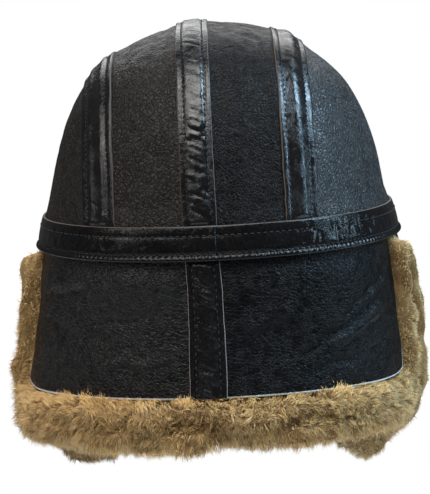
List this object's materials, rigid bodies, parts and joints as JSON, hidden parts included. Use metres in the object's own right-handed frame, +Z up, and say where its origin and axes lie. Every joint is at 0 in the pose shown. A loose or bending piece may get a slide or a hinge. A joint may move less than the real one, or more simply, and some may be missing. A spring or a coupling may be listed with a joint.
{
  "type": "leather flying helmet",
  "caption": "Sheepskin flying helmet: panelled leather crown with seam tapes, a band, ear flaps and a nape flap, lined and edged with thick wool.",
  "frame": {"origin": "middle of the head opening, level with the band's lower edge, where a head holds the hat", "axes": "+Z up through the crown, +Y towards the nape, +X towards the wearer's left ear"},
  "size_m": [0.213, 0.2431, 0.2382],
  "materials": {
    "leather": "satin, fine-grained, near black",
    "tape": "glossy black",
    "wool": "deep tan sheep's wool"
  },
  "bodies": {
    "root": {"crown_side_right": "leather", "crown_top_right": "leather", "crown_top_left": "leather", "crown_side_left": "leather", "crown_tape_right": "tape", "crown_tape_middle": "tape", "crown_tape_left": "tape", "band": "tape", "nape_flap_right": "leather", "nape_flap_left": "leather", "nape_tape": "tape", "ear_flap_left": "leather", "ear_flap_right": "leather", "brow_strip": "leather", "crown_wool": "wool", "nape_wool": "wool", "ear_left_wool": "wool", "ear_right_wool": "wool", "brow_wool": "wool"}
  },
  "joints": []
}
